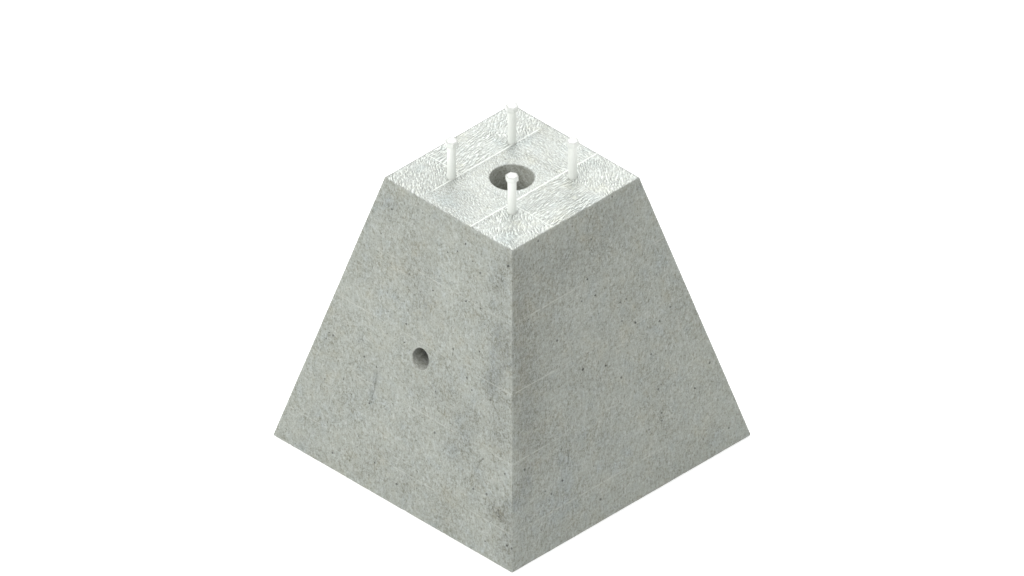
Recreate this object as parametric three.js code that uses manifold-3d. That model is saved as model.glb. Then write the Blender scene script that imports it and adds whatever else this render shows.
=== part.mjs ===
// Column base block: a square concrete frustum with cable ducts and four anchor bolts cast into its top.
// Millimetres, +Z up. The origin is the middle of the underside, and the side duct opens in the -Y face.
import * as THREE from "three";
import { mergeVertices } from "three/addons/utils/BufferGeometryUtils.js";
import Module from "manifold-3d";

// Concrete block
const blockBase = 750; // side of the square underside
const blockTop = 400; // side of the square top
const blockHeight = 700;

// Cable ducts, cast with the block
const ductDiameter = 100; // upright, through the middle from the top to the underside
const sideDuctDiameter = 50; // level, from the -Y face into the upright duct
const sideDuctHeight = 350; // centreline of the side duct above the underside
const ductSides = 48;

// Anchor bolts, on the corners of a square about the duct
const boltSpacing = 190; // between the centres of neighbouring bolts
const boltDiameter = 20;
const boltProud = 100; // from the block's top to the top of the bolt's head
const boltEmbedded = 300; // of the shank below the block's top
const boltSides = 32;
const headAcrossCorners = 30;
const headHeight = 12;
const castGap = 0.3; // kept between a shank and its socket

// How far a cutter runs past the face that it opens in
const cutPast = 20;

const wasm = await Module();
wasm.setup();

function solidFrom(geometry) {
  const bare = geometry.index ? geometry.toNonIndexed() : geometry.clone();
  bare.deleteAttribute("normal");
  bare.deleteAttribute("uv");
  const welded = mergeVertices(bare, 1e-4);
  return new wasm.Manifold(
    new wasm.Mesh({
      numProp: 3,
      vertProperties: new Float32Array(welded.attributes.position.array),
      triVerts: new Uint32Array(welded.index.array),
    }),
  );
}

function geometryFrom(solid) {
  const mesh = solid.getMesh();
  const geometry = new THREE.BufferGeometry();
  geometry.setAttribute("position", new THREE.BufferAttribute(mesh.vertProperties, 3));
  geometry.setIndex(new THREE.BufferAttribute(mesh.triVerts, 1));
  geometry.computeVertexNormals();
  return geometry;
}

// A round bar or cone standing on the level z = bottom, with its vertices on the true circle.
function uprightBar(bottomRadius, topRadius, bottom, top, sides) {
  const bar = new THREE.CylinderGeometry(topRadius, bottomRadius, top - bottom, sides);
  bar.rotateX(Math.PI / 2);
  bar.translate(0, 0, (bottom + top) / 2);
  return bar;
}

// The four corners that the bolts stand on, named as seen from the face with the side duct.
function boltPlaces() {
  const half = boltSpacing / 2;
  return [
    ["front_left", -half, -half],
    ["front_right", half, -half],
    ["back_left", -half, half],
    ["back_right", half, half],
  ];
}

// The block's outline: a four-sided cone frustum, turned so that its faces look along X and Y.
function frustum() {
  const cornerPerSide = Math.SQRT1_2; // from the centre to a corner, for a square of side 1
  const geometry = uprightBar(blockBase * cornerPerSide, blockTop * cornerPerSide, 0, blockHeight, 4);
  geometry.rotateZ(Math.PI / 4);
  return solidFrom(geometry);
}

function uprightDuct() {
  const radius = ductDiameter / 2;
  return solidFrom(uprightBar(radius, radius, -cutPast, blockHeight + cutPast, ductSides));
}

// Runs from the middle of the upright duct out through the -Y face.
function sideDuct() {
  const radius = sideDuctDiameter / 2;
  const length = blockBase / 2 + cutPast;
  const cutter = new THREE.CylinderGeometry(radius, radius, length, ductSides);
  cutter.translate(0, -length / 2, sideDuctHeight);
  return solidFrom(cutter);
}

function boltSocket(x, y) {
  const radius = boltDiameter / 2 + castGap;
  const bottom = blockHeight - boltEmbedded - castGap;
  const cutter = uprightBar(radius, radius, bottom, blockHeight + cutPast, boltSides);
  cutter.translate(x, y, 0);
  return solidFrom(cutter);
}

function concreteBlock() {
  let block = frustum().subtract(uprightDuct()).subtract(sideDuct());
  for (const [, x, y] of boltPlaces()) {
    block = block.subtract(boltSocket(x, y));
  }
  return geometryFrom(block);
}

// The head is a plain hexagonal prism with two flats facing X.
function boltHead() {
  const cornerRadius = headAcrossCorners / 2;
  return solidFrom(uprightBar(cornerRadius, cornerRadius, boltProud - headHeight, boltProud, 6));
}

// Drawn about the bolt's own axis, with z = 0 level with the block's top.
function anchorBolt() {
  const radius = boltDiameter / 2;
  const insideHead = boltProud - headHeight / 2;
  const shank = solidFrom(uprightBar(radius, radius, -boltEmbedded, insideHead, boltSides));
  return geometryFrom(shank.add(boltHead()));
}

const concrete = new THREE.MeshStandardMaterial({ color: 0xb1b4ad, roughness: 0.93, metalness: 0 });
const whiteSteel = new THREE.MeshStandardMaterial({ color: 0xf0f1ec, roughness: 0.5, metalness: 0 });

const columnBase = new THREE.Group();

const block = new THREE.Mesh(concreteBlock(), concrete);
block.name = "concrete_block";
columnBase.add(block);

const boltGeometry = anchorBolt();
for (const [place, x, y] of boltPlaces()) {
  const bolt = new THREE.Mesh(boltGeometry, whiteSteel);
  bolt.name = "anchor_bolt_" + place;
  bolt.position.set(x, y, blockHeight);
  columnBase.add(bolt);
}

export default columnBase;
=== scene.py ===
import math
from dataclasses import dataclass

import bmesh
import bpy
import numpy as np
from bpy.props import FloatProperty, FloatVectorProperty, IntProperty, PointerProperty
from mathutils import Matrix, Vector, geometry, noise


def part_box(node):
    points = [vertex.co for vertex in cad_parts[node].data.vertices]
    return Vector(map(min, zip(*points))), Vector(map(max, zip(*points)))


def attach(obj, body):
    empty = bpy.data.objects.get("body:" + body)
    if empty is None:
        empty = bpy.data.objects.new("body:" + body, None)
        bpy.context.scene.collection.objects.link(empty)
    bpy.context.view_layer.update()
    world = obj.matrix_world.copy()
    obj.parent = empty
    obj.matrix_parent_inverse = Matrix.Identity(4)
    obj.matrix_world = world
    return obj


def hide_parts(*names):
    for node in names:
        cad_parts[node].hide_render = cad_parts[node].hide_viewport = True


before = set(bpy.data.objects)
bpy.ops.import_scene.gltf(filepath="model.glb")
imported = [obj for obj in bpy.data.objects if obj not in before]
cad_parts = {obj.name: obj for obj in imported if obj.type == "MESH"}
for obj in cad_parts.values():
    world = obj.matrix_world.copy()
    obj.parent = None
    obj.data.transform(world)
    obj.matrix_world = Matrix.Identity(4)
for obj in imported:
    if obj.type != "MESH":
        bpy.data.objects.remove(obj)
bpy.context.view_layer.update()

bl_info = {
    "name": "Column base block",
    "version": (1, 0, 0),
    "blender": (4, 5, 0),
    "location": "3D View > Sidebar > Column base",
    "description": "Builds a concrete column base block, its anchor bolts and a stage for them",
    "category": "Object",
}

MM = 0.001
BOLT_PLACES = ("front_left", "front_right", "back_left", "back_right")


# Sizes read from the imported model

def node_points(name):
    return np.array([vertex.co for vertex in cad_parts[name].data.vertices])


BLOCK_LOW, BLOCK_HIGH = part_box("concrete_block")
BLOCK_POINTS = node_points("concrete_block")
TOP_POINTS = BLOCK_POINTS[BLOCK_POINTS[:, 2] > BLOCK_HIGH.z - MM]
TOP_SIDE = 2 * float(TOP_POINTS[:, 0].max())
DUCT_DIAMETER = 2 * float(np.hypot(TOP_POINTS[:, 0], TOP_POINTS[:, 1]).min())
SIDE_RIM = BLOCK_POINTS[
    (BLOCK_POINTS[:, 1] < -TOP_SIDE / 2 - MM)
    & (BLOCK_POINTS[:, 2] > MM)
    & (np.abs(BLOCK_POINTS[:, 0]) < TOP_SIDE / 2)
]
SIDE_DUCT_DIAMETER = 2 * float(SIDE_RIM[:, 0].max())
SIDE_DUCT_HEIGHT = float(SIDE_RIM[:, 2].min() + SIDE_RIM[:, 2].max()) / 2
BOLT_LOW, BOLT_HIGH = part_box("anchor_bolt_front_right")
BOLT_POINTS = node_points("anchor_bolt_front_right")
SHANK_END = BOLT_POINTS[BOLT_POINTS[:, 2] < BOLT_LOW.z + MM]
SHANK_DIAMETER = 2 * float(SHANK_END[:, 0].max()) - (BOLT_LOW.x + BOLT_HIGH.x)
HEAD_BOTTOM = float(BOLT_POINTS[BOLT_POINTS[:, 1] > BOLT_HIGH.y - MM][:, 2].min())


# Settings that a user would change

class BlockSettings(bpy.types.PropertyGroup):
    """Sizes and colours of the concrete block."""

    base_side: FloatProperty(
        name="Base side", description="Side of the square underside",
        default=BLOCK_HIGH.x - BLOCK_LOW.x, unit="LENGTH")
    top_side: FloatProperty(
        name="Top side", description="Side of the square top", default=TOP_SIDE, unit="LENGTH")
    height: FloatProperty(
        name="Height", description="Height of the block", default=BLOCK_HIGH.z, unit="LENGTH")
    duct_diameter: FloatProperty(
        name="Upright duct", description="Bore of the upright cable duct",
        default=DUCT_DIAMETER, unit="LENGTH")
    side_duct_diameter: FloatProperty(
        name="Side duct", description="Bore of the side cable duct",
        default=SIDE_DUCT_DIAMETER, unit="LENGTH")
    side_duct_height: FloatProperty(
        name="Side duct height", description="Height of the side duct's centreline",
        default=SIDE_DUCT_HEIGHT, unit="LENGTH")
    socket_clearance: FloatProperty(
        name="Socket clearance", description="Gap between a bolt's shank and the concrete",
        default=0.3 * MM, unit="LENGTH")
    top_spacing: FloatProperty(
        name="Top detail", description="Distance between the points of the tooled top",
        default=2.0 * MM, unit="LENGTH")
    side_spacing: FloatProperty(
        name="Side detail", description="Distance between the points of the smooth sides",
        default=9 * MM, unit="LENGTH")
    arris_radius: FloatProperty(
        name="Arris wear", description="Usual radius that the edges are worn to",
        default=1.3 * MM, unit="LENGTH")
    tooling_depth: FloatProperty(
        name="Tooling depth", description="Height of the deepest tool marks on the top",
        default=1.1 * MM, unit="LENGTH")
    lining_square: FloatProperty(
        name="Lining square", description="Side of the squares that lined the mould",
        default=156.5 * MM, unit="LENGTH")
    fin_height: FloatProperty(
        name="Fin height", description="Height of the fins left by the joints of the lining on the top",
        default=0.7 * MM, unit="LENGTH")
    pore_count: IntProperty(
        name="Pores", description="Air pores on each side", default=34, min=0)
    seed: IntProperty(
        name="Seed", description="Seed of the pores' places and sizes", default=7)
    concrete: FloatVectorProperty(
        name="Concrete", description="Main colour of the formed sides", subtype="COLOR", size=4,
        default=(0.379, 0.392, 0.360, 1))
    warm_tint: FloatVectorProperty(
        name="Warm tint", description="Beige of the sandy patches", subtype="COLOR", size=4,
        default=(0.388, 0.389, 0.340, 1))
    cool_tint: FloatVectorProperty(
        name="Cool tint", description="Blue grey of the cement-rich patches", subtype="COLOR", size=4,
        default=(0.365, 0.388, 0.375, 1))
    # partly painted light: the top is paler than the sides partly for its own tooled finish and partly to
    # stand in for the stronger light on it
    pale_top_with_painted_light: FloatVectorProperty(
        name="Pale top", description="Colour of the tooled top", subtype="COLOR", size=4,
        default=(0.557, 0.581, 0.551, 1))
    # painted light: paler than the formed concrete, standing in for light inside the ducts
    painted_lit_duct_grey: FloatVectorProperty(
        name="Duct grey", description="Colour inside the ducts", subtype="COLOR", size=4,
        default=(0.535, 0.540, 0.499, 1))


class BoltSettings(bpy.types.PropertyGroup):
    """Sizes and colours of the anchor bolts."""

    shank_diameter: FloatProperty(
        name="Shank", description="Diameter of the shank", default=SHANK_DIAMETER, unit="LENGTH")
    head_across_corners: FloatProperty(
        name="Across corners", description="Width of the head over its corners",
        default=BOLT_HIGH.y - BOLT_LOW.y, unit="LENGTH")
    head_height: FloatProperty(
        name="Head height", description="Thickness of the head",
        default=BOLT_HIGH.z - HEAD_BOTTOM, unit="LENGTH")
    white: FloatVectorProperty(
        name="White", description="Colour of the coating", subtype="COLOR", size=4,
        default=(0.872, 0.900, 0.855, 1))
    grime: FloatVectorProperty(
        name="Grime", description="Colour of the cement dust at the foot", subtype="COLOR", size=4,
        default=(0.62, 0.62, 0.57, 1))


class StageSettings(bpy.types.PropertyGroup):
    """Camera, floor and light."""

    view_width: FloatProperty(
        name="View width", description="Width of the camera's level view", default=2.2716, unit="LENGTH")
    aim_height: FloatProperty(
        name="Aim height", description="Height on the axis that the camera looks at",
        default=0.3996, unit="LENGTH")
    view_azimuth: FloatProperty(
        name="View azimuth", description="Turn of the camera from the -Y side towards +X",
        default=math.radians(45), unit="ROTATION")
    view_elevation: FloatProperty(
        name="View elevation", description="Camera's angle above the horizon",
        default=math.radians(35.264), unit="ROTATION")
    floor: FloatVectorProperty(
        name="Floor", description="Colour of the floor", subtype="COLOR", size=4, default=(0.9, 0.9, 0.9, 1))
    floor_glow: FloatProperty(
        name="Floor glow", description="Light that the white table under the block gives off",
        default=0.32, min=0)
    room_light: FloatProperty(
        name="Room light", description="Strength of the even light from all around", default=0.68, min=0)
    front_light: FloatProperty(
        name="Front light", description="Power of the soft light in front, in watts", default=270, min=0)
    top_light: FloatProperty(
        name="Top light", description="Power of the soft light overhead, in watts", default=198, min=0)
    back_light: FloatProperty(
        name="Back light", description="Power of the soft light behind, in watts", default=225, min=0)


class ColumnBaseSettings(bpy.types.PropertyGroup):
    """All the settings of the column base."""

    block: PointerProperty(type=BlockSettings)
    bolt: PointerProperty(type=BoltSettings)
    stage: PointerProperty(type=StageSettings)


# Noise fields, in metres

def field(points, size, shift=0.0):
    """Smooth noise from about -1 to 1 at each point, with lumps of about the given size."""
    offset = Vector((shift, 2.7 * shift, -1.3 * shift))
    scaled = points / size
    return np.array([noise.noise(Vector(point) + offset) for point in scaled])


def smooth_step(low, high, value):
    """0 below low, 1 above high, and a smooth rise between them."""
    share = np.clip((value - low) / (high - low), 0, 1)
    return share * share * (3 - 2 * share)


# Flat outlines and points on them

ROUNDING = 1e-6  # share of a step by which a side may be too long for its whole number of steps


def points_between(start, end, step):
    """Points from start towards end, at most step apart, without the end itself."""
    start, end = np.array(start), np.array(end)
    count = max(1, math.ceil(np.linalg.norm(end - start) / step - ROUNDING))
    return [start + (end - start) * i / count for i in range(count)]


def outline(corners, steps):
    """Points all round a polygon, with a step for each of its sides."""
    following = corners[1:] + corners[:1]
    return [p for a, b, step in zip(corners, following, steps) for p in points_between(a, b, step)]


def depth_inside(points, corners):
    """How far each point lies inside a convex polygon whose corners run anticlockwise."""
    depth = np.full(len(points), np.inf)
    for a, b in zip(corners, corners[1:] + corners[:1]):
        along = (np.array(b) - a) / np.linalg.norm(np.array(b) - a)
        inward = np.array((-along[1], along[0]))
        depth = np.minimum(depth, (points - np.array(a)) @ inward)
    return depth


def square(side):
    """The corners of a square about the middle, anticlockwise."""
    half = side / 2
    return [(-half, -half), (half, -half), (half, half), (-half, half)]


def inset(corners, distance):
    """The corners of a convex polygon drawn inside another, at the same distance from every side."""
    moved = []
    for before, corner, after in zip(corners[-1:] + corners[:-1], corners, corners[1:] + corners[:1]):
        back = np.array(before) - corner
        ahead = np.array(after) - corner
        back, ahead = back / np.linalg.norm(back), ahead / np.linalg.norm(ahead)
        half_angle = math.acos(float(np.clip(back @ ahead, -1, 1))) / 2
        bisector = (back + ahead) / np.linalg.norm(back + ahead)
        moved.append(tuple(np.array(corner) + bisector * distance / math.sin(half_angle)))
    return moved


def lattice(corners, spacing, margin):
    """Staggered rows of points inside a convex polygon, at least margin from its sides."""
    low, high = np.min(corners, axis=0), np.max(corners, axis=0)
    row_height = spacing * math.sin(math.radians(60))
    rows = []
    for row in range(int((high[1] - low[1]) / row_height) + 1):
        across = np.arange(low[0] + (row % 2) * spacing / 2, high[0], spacing)
        rows.append(np.column_stack((across, np.full(len(across), low[1] + row * row_height))))
    points = np.concatenate(rows)
    return points[depth_inside(points, corners) >= margin]


def ring(centre, radius, count, turn=0.0):
    angles = turn + 2 * math.pi * np.arange(count) / count
    return np.array(centre) + radius * np.column_stack((np.cos(angles), np.sin(angles)))


def loop_edges(first, count):
    return [(first + i, first + (i + 1) % count) for i in range(count)]


INSIDE_OUTLINE = 1  # the triangulation keeps only what its edges enclose
SAME_POINT = 1e-7  # metres within which two points count as one


class FlatPatch:
    """Points on a flat outline, some joined by edges, which are then filled with triangles."""

    def __init__(self, corners, steps):
        self.points = [tuple(p) for p in outline(corners, steps)]
        self.edges = loop_edges(0, len(self.points))
        self.hollow = [0.0] * len(self.points)
        self.blocked = []

    def add(self, points, hollow=0.0, joined=False, closed=False):
        first = len(self.points)
        self.points += [tuple(p) for p in points]
        self.hollow += [hollow] * len(points)
        if joined:
            edges = loop_edges(first, len(points))
            self.edges += edges if closed else edges[:-1]

    def block(self, centre, radius):
        """Keeps later free points out of a circle."""
        self.blocked.append((np.array(centre), radius))

    def block_line(self, points, radius):
        for point in points:
            self.block(point, radius)

    def add_free(self, points, hollow=0.0):
        """Adds the points that lie in no blocked circle."""
        points = np.array(points)
        free = np.ones(len(points), bool)
        for centre, radius in self.blocked:
            free &= np.linalg.norm(points - centre, axis=1) > radius
        self.add(points[free], hollow)

    def triangles(self, hole=None):
        """The patch's points, how deep each is pressed in, and its triangles.

        Triangles are left out where hole(points) is true of their middles."""
        verts, _, faces, origins, _, _ = geometry.delaunay_2d_cdt(
            [Vector(p) for p in self.points], self.edges, [], INSIDE_OUTLINE, SAME_POINT)
        flat = np.array([tuple(v) for v in verts])
        hollow = np.array([max((self.hollow[i] for i in origin), default=0.0) for origin in origins])
        faces = np.array(faces)
        if hole is not None:
            faces = faces[~hole(flat[faces].mean(axis=1))]
        return flat, hollow, faces


class Skin:
    """Gathers the patches of one closed surface and welds them along their shared edges.

    Each point carries marks: how deep it is pressed in, how much paler it is from stains and from painted
    shade, how much warmer it is, and how coarse its grain gets in stains."""

    MARKS = ("hollow", "shade", "warmth", "coarse")

    def __init__(self):
        self.points, self.faces, self.finishes = [], [], []
        self.marks = {name: [] for name in self.MARKS}
        self.count = 0

    def add(self, points, faces, finish, **marks):
        self.points.append(np.asarray(points, float))
        for name, values in self.marks.items():
            values.append(marks.get(name, np.zeros(len(points))))
        self.faces.append(np.asarray(faces, int) + self.count)
        self.finishes.append(np.full(len(faces), finish))
        self.count += len(points)

    def add_tube(self, rings, finish, **marks):
        """Adds a tube through rings of equally many points."""
        count = len(rings[0])
        faces = []
        for row in range(len(rings) - 1):
            for i in range(count):
                a, b = row * count + i, row * count + (i + 1) % count
                faces += [(a, b, b + count), (a, b + count, a + count)]
        self.add(np.concatenate(rings), faces, finish, **marks)

    def mesh(self, name, weld=0.01 * MM):
        """The welded mesh. Raises an error if the surface isn't closed."""
        mesh = bpy.data.meshes.new(name)
        mesh.from_pydata(np.concatenate(self.points).tolist(), [], np.concatenate(self.faces).tolist())
        mesh.polygons.foreach_set("material_index", np.concatenate(self.finishes))
        for name, values in self.marks.items():
            mesh.attributes.new(name, "FLOAT", "POINT").data.foreach_set("value", np.concatenate(values))
        working = bmesh.new()
        working.from_mesh(mesh)
        bmesh.ops.remove_doubles(working, verts=working.verts, dist=weld)
        bmesh.ops.dissolve_degenerate(working, edges=working.edges, dist=weld / 10)
        bmesh.ops.recalc_face_normals(working, faces=working.faces)
        open_edges = sum(not edge.is_manifold for edge in working.edges)
        working.to_mesh(mesh)
        working.free()
        if open_edges:
            raise RuntimeError(f"{name} has {open_edges} open edges")
        mesh.polygons.foreach_set("use_smooth", np.ones(len(mesh.polygons), bool))
        return mesh


def mesh_points(mesh):
    points = np.empty(len(mesh.vertices) * 3)
    mesh.vertices.foreach_get("co", points)
    return points.reshape(-1, 3)


# The concrete block's surface

FORMED_SIDE, TOOLED_TOP, DUCT_WALL, UNDERSIDE = range(4)
FRONT, RIGHT = 0, 1  # sides by their quarter turns from the -Y face
DUCT_SIDES = 120
SIDE_DUCT_SIDES = 60
SIDE_DUCT_ROWS = 34
SOCKET_SIDES = 32
SOCKET_ROW = 1.5 * MM  # from a socket's rim to the row of points around it
ARRIS_ROWS = (0.8 * MM, 1.8 * MM, 3.6 * MM)  # rows of points along the edges, by their distance from them
ARRIS_STEP = 4 * MM
ARRIS_CLEARANCE = 3 * MM  # between the last of those rows and the free points
UNDERSIDE_SPACING = 24 * MM

PORE_SIDES = 8
PORE_LEAST = 0.8  # radius of the smallest scattered pores, in millimetres
PORE_SPREAD = 1.3  # how much larger the largest are, in millimetres
PORE_RARITY = 2.5  # the higher, the fewer are large
PORE_FROM_EDGE = 12 * MM
PORE_APART = 16 * MM
CRACK_STEP = 2.2 * MM
CRACK_WANDER = 1.2 * MM
CRACK_WANDER_SIZE = 4 * MM
CRACK_HALF_WIDTH = 0.9 * MM
CRACK_DEPTH = 0.8 * MM

# All the marks below are in millimetres, across a side from its middle and down its slope from the top.
# Large pores that stand out, as (across, down, diameter)
FRONT_PORES = (
    (-162, 62, 4.5), (65, 44, 4.5), (197, 39, 5.5), (46, 71, 3.5), (19, 86, 3.5), (-2, 191, 3.5),
    (-59, 300, 4), (87, 296, 4), (97, 172, 4), (142, 169, 3.5), (345, 667, 5),
)
RIGHT_PORES = (
    (30, 76, 4), (-2, 161, 4.5), (73, 299, 3.5), (110, 320, 5.5), (-64, 357, 5.5), (2, 378, 4),
    (-182, 580, 5), (135, 556, 3.5), (242, 544, 4.5),
)
# Hairline cracks, as points (across, down)
FRONT_CRACKS = (
    ((286, 588), (285, 601), (293, 608), (304, 607), (315, 609), (318, 595), (319, 575), (322, 562)),
    ((285, 634), (290, 628), (289, 620)),
    ((217, 541), (221, 530), (222, 517), (229, 506)),
    ((-115, 450), (-114, 480), (-115, 514)),
)
RIGHT_CRACKS = (
    ((-156, 548), (-152, 535), (-150, 523)),
    ((-166, 340), (-163, 348), (-167, 360)),
)

# Soft stains, as (across, down, half width, half height, how much paler, how much warmer)
FRONT_STAINS = (
    (205, 200, 30, 40, -0.09, 0.2), (236, 235, 24, 46, -0.09, 0.0), (192, 120, 46, 70, -0.06, -0.3),
    (178, 90, 18, 35, -0.07, 0.6), (216, 285, 36, 46, -0.10, -0.6), (212, 328, 22, 30, -0.09, 0.0),
    (200, 30, 24, 30, -0.07, 0.0), (155, 505, 46, 50, -0.09, -0.5), (165, 445, 46, 46, -0.07, -0.3),
    (218, 560, 28, 46, -0.08, 0.0), (300, 602, 42, 24, -0.13, 0.5), (336, 590, 24, 40, -0.09, 0.0),
    (350, 665, 28, 60, -0.12, 0.0), (155, 650, 42, 60, -0.05, 0.7), (-80, 640, 50, 50, -0.04, 0.4),
    (-172, 58, 32, 30, -0.05, -0.5), (-75, 150, 46, 60, -0.04, 0.6), (-20, 240, 30, 30, -0.06, 0.5),
    (140, 175, 28, 28, -0.05, 0.3), (95, 420, 50, 46, -0.05, 0.3), (-114, 485, 9, 46, -0.06, -0.5),
    (225, 250, 50, 110, -0.05, -0.1), (265, 420, 44, 90, -0.07, -0.2), (240, 330, 40, 60, -0.03, 0.0),
    (20, 100, 36, 70, 0.05, -0.1), (45, 165, 32, 50, 0.05, -0.3), (-150, 290, 60, 80, 0.04, -0.3),
    (-60, 290, 36, 40, 0.03, -0.6), (-200, 500, 80, 100, 0.0, 0.5), (80, 590, 50, 60, 0.03, -0.2),
)
RIGHT_STAINS = (
    (-215, 100, 44, 120, -0.10, 0.5), (-228, 230, 42, 120, -0.11, 0.0), (-185, 190, 80, 160, -0.08, 0.4),
    (-242, 345, 46, 110, -0.10, 0.2), (-240, 445, 60, 110, -0.09, 0.2), (-255, 480, 40, 50, -0.04, 0.2),
    (-312, 560, 34, 46, -0.13, -0.9), (-285, 525, 30, 26, -0.08, -0.3), (-200, 15, 30, 20, -0.05, -0.7),
    (-140, 90, 70, 90, -0.05, 0.2), (60, 40, 100, 70, -0.06, 0.4), (112, 60, 70, 60, -0.03, -0.1),
    (-50, 90, 40, 50, -0.06, -0.5), (0, 120, 100, 60, -0.05, 0.0), (-150, 330, 50, 60, -0.02, -0.8),
    (-165, 560, 40, 60, -0.03, -0.9), (-220, 640, 80, 60, -0.03, -0.8), (-320, 660, 50, 60, -0.03, 0.0),
    (50, 250, 30, 30, 0.02, 0.9), (85, 350, 36, 36, 0.02, 0.8), (165, 330, 46, 50, 0.03, -0.5),
    (190, 220, 50, 40, 0.02, -0.6), (250, 520, 90, 120, 0.04, 0.3), (-30, 570, 60, 50, -0.02, -0.6),
)
# The same on the top, as (along X, along Y, half width, half height, how much paler, how much warmer); the
# broad paler one at (110, -110) is a painted pool of light towards the front corner
TOP_STAINS = (
    (160, -175, 36, 30, -0.05, -0.8), (110, -150, 60, 50, -0.03, 0.1), (-95, 72, 26, 16, -0.06, -0.6),
    (-40, 88, 50, 10, 0.0, 0.7), (-150, -130, 40, 20, -0.03, -0.7), (-45, -165, 40, 30, -0.02, -0.6),
    (-60, 140, 30, 30, -0.02, -0.6), (110, 40, 40, 40, -0.02, 0.2), (110, -110, 120, 110, 0.07, -0.1),
    (-140, -140, 76, 76, -0.07, 0.0), (-10, -140, 90, 76, -0.09, -0.2), (140, 140, 76, 76, 0.07, 0.1),
    (-140, 140, 80, 80, 0.04, 0.0),
)
MARKED_PORES = {FRONT: FRONT_PORES, RIGHT: RIGHT_PORES}
MARKED_CRACKS = {FRONT: FRONT_CRACKS, RIGHT: RIGHT_CRACKS}
MARKED_STAINS = {FRONT: FRONT_STAINS, RIGHT: RIGHT_STAINS}

STAIN_STRENGTH = 0.85
STAIN_WARMTH = 0.6
STAIN_FADE = (0.1, 1.6)  # where a stain starts to fade and where it ends, in its half widths
STAIN_WANDER = 9 * MM  # how far its outline strays
STAIN_WANDER_SIZE = 26 * MM
COARSE_SHADES = (0.03, -0.12)  # shades between which the grain gets coarser
STAIN_COARSENESS = {RIGHT: 0.35}  # share of that on a side whose stains are smoother
# Faint clouds on every face, as (how much paler, size, shift of the noise), and how much warmer they are
CLOUDS = ((0.022, 150 * MM, 33), (0.012, 48 * MM, 34))
CLOUD_WARMTH = 0.35
CLOUD_WARMTH_SIZE = 110 * MM


def stain_marks(stains, points, flat, top=None):
    """How much paler and warmer each point of a face is, from its marked stains and some faint clouds.

    Stains are placed down from the level top, or up from the middle where none is given."""
    wander = STAIN_WANDER * np.column_stack([field(points, STAIN_WANDER_SIZE, shift) for shift in (31, 32)])
    place = flat + wander
    shade = sum(paler * field(points, size, shift) for paler, size, shift in CLOUDS)
    warmth = CLOUD_WARMTH * field(points, CLOUD_WARMTH_SIZE, 35)
    for across, along, half_width, half_height, paler, warmer in stains:
        middle = (across * MM, along * MM if top is None else top - along * MM)
        reach = np.linalg.norm((place - middle) / (half_width * MM, half_height * MM), axis=1)
        strength = STAIN_STRENGTH * (1 - smooth_step(*STAIN_FADE, reach))
        shade += paler * strength
        warmth += STAIN_WARMTH * warmer * strength
    return shade, warmth


def slope_length(block):
    return math.hypot((block.base_side - block.top_side) / 2, block.height)


def on_side(block, turn, across, up):
    """Points of a side face, by their place across it and up its slope."""
    length = slope_length(block)
    out = block.base_side / 2 - up * (block.base_side - block.top_side) / 2 / length
    height = up * block.height / length
    angle = turn * math.pi / 2
    return np.column_stack((
        across * math.cos(angle) + out * math.sin(angle),
        across * math.sin(angle) - out * math.cos(angle),
        height,
    ))


def pore_list(block, turn, corners):
    """Places and radii of a side's air pores: the marked ones first, then scattered ones."""
    length = slope_length(block)
    marked = MARKED_PORES.get(turn, ())
    pores = [(np.array((x * MM, length - down * MM)), diameter * MM / 2) for x, down, diameter in marked]
    random = np.random.default_rng(block.seed + turn)
    mouth = np.array((0, block.side_duct_height * length / block.height))
    while len(pores) < len(marked) + block.pore_count:
        place = np.array((random.uniform(-0.5, 0.5) * block.base_side, random.uniform(0, length)))
        radius = MM * (PORE_LEAST + PORE_SPREAD * random.random() ** PORE_RARITY)
        inside = depth_inside(place[None], corners)[0] > PORE_FROM_EDGE
        apart = all(np.linalg.norm(place - other) > PORE_APART for other, _ in pores)
        off_mouth = turn != FRONT or np.linalg.norm(place - mouth) > block.side_duct_diameter
        if inside and apart and off_mouth:
            pores.append((place, radius))
    return pores


def add_pore(patch, centre, radius):
    """Adds an air pore with an uneven, slightly drawn-out rim, in rings from level concrete inwards."""
    unevenness, drawn_out = 0.3, 0.35
    lean = 3 * noise.noise(Vector((*centre, 3)) / (20 * MM))
    long_way = np.array((math.cos(lean), math.sin(lean)))

    def rim(share, turn):
        around = ring((0, 0), radius * share, PORE_SIDES, turn)
        uneven = [1 + unevenness * noise.noise(Vector((*(centre + p), 7)) / (2 * MM)) for p in around]
        around = around * np.array(uneven)[:, None]
        return centre + around + drawn_out * np.outer(around @ long_way, long_way)

    patch.add(rim(1.5, 0))
    patch.add(rim(1, 0.3), hollow=0.15 * radius, joined=True, closed=True)
    patch.add(rim(0.6, 0), hollow=0.9 * radius)
    patch.add([centre], hollow=1.3 * radius)
    patch.block(centre, radius * 2 + 2.5 * MM)


def add_crack(patch, length, line):
    """Adds a hairline crack: a pressed line with a row of level points on each side of it."""
    corners = [np.array((x * MM, length - down * MM)) for x, down in line]
    middle = [p for a, b in zip(corners, corners[1:]) for p in points_between(a, b, CRACK_STEP)]
    middle.append(corners[-1])
    wander = [[noise.noise(Vector((*p, shift)) / CRACK_WANDER_SIZE) for shift in (0, 9)] for p in middle]
    middle = np.array(middle) + CRACK_WANDER * np.array(wander)
    along = np.gradient(middle, axis=0)
    along /= np.linalg.norm(along, axis=1, keepdims=True)
    sideways = np.column_stack((-along[:, 1], along[:, 0])) * CRACK_HALF_WIDTH
    patch.add(middle - sideways, joined=True)
    patch.add(middle, hollow=CRACK_DEPTH, joined=True)
    patch.add(middle + sideways, joined=True)
    patch.block_line(middle, 4 * MM)


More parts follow.
